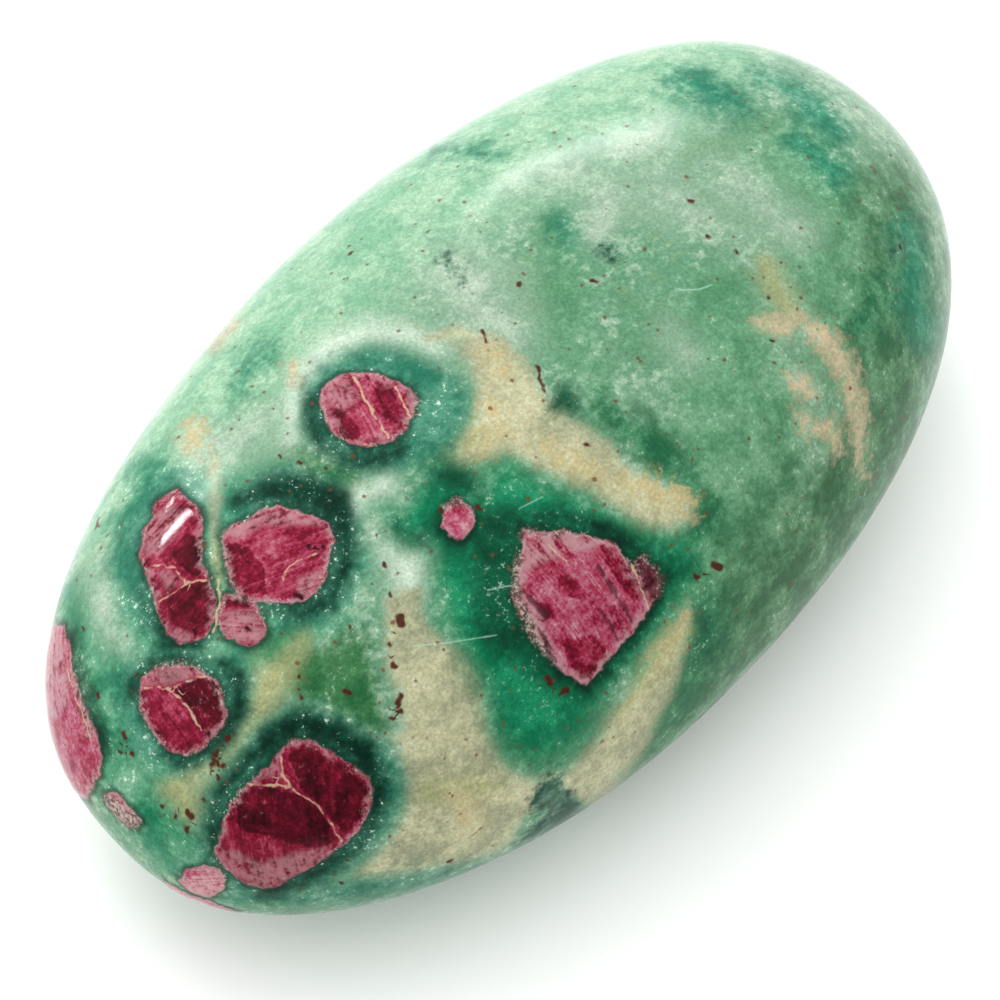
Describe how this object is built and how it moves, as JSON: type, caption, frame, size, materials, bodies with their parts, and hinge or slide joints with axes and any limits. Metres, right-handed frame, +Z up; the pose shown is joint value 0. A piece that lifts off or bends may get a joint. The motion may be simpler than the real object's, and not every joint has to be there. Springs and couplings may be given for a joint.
{
  "type": "ruby in fuchsite polished stone",
  "caption": "Palm-size tumbled pebble of green fuchsite with ruby crystals grown into it: an uneven oval, domed above and shallower below, worn flat underneath.",
  "frame": {"origin": "middle of the stone's outline, on the level of the worn flat that it rests on", "axes": "+X along the length, towards the narrower end; +Y across the width; +Z up, the way the stone lies"},
  "size_m": [0.066, 0.0366, 0.0238],
  "materials": {
    "polished_fuchsite": "polished"
  },
  "bodies": {
    "root": {"polished_stone": "polished_fuchsite"}
  },
  "joints": []
}
